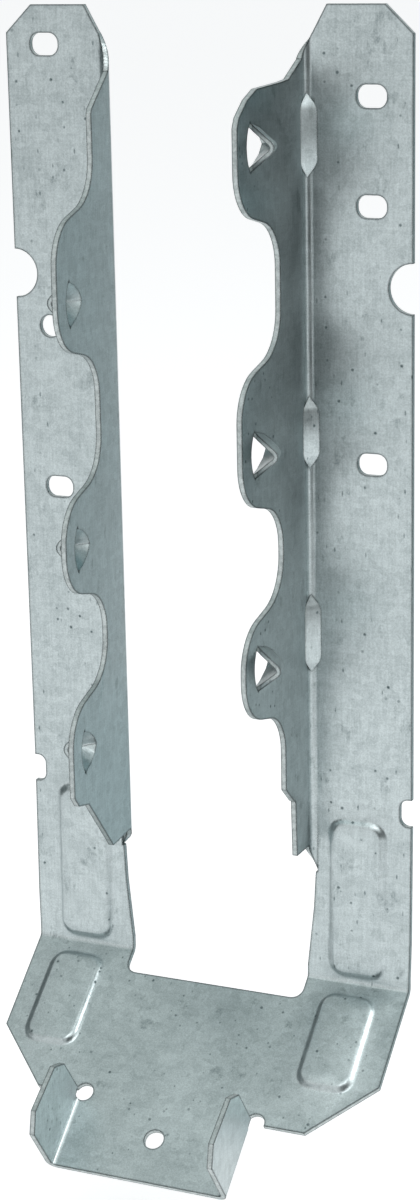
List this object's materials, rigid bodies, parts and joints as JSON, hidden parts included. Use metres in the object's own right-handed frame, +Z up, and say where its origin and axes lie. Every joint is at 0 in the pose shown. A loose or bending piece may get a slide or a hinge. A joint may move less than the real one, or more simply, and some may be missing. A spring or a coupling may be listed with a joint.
{
  "type": "joist hanger",
  "caption": "Folded sheet-metal joist hanger: two nailing plates, two wavy side flanges with nail hoods, and a sloping seat with two upright ears.",
  "frame": {"origin": "in the header's face, on the seat's fold line, midway between the nailing plates", "axes": "+Z up along the plates; the header stands behind the plane y = 0 and the joist comes from -Y; +X to the right as seen from the joist's side"},
  "size_m": [0.0992, 0.0591, 0.2676],
  "materials": {
    "galvanised": "satin"
  },
  "bodies": {
    "root": {"hanger": "galvanised"}
  },
  "joints": []
}
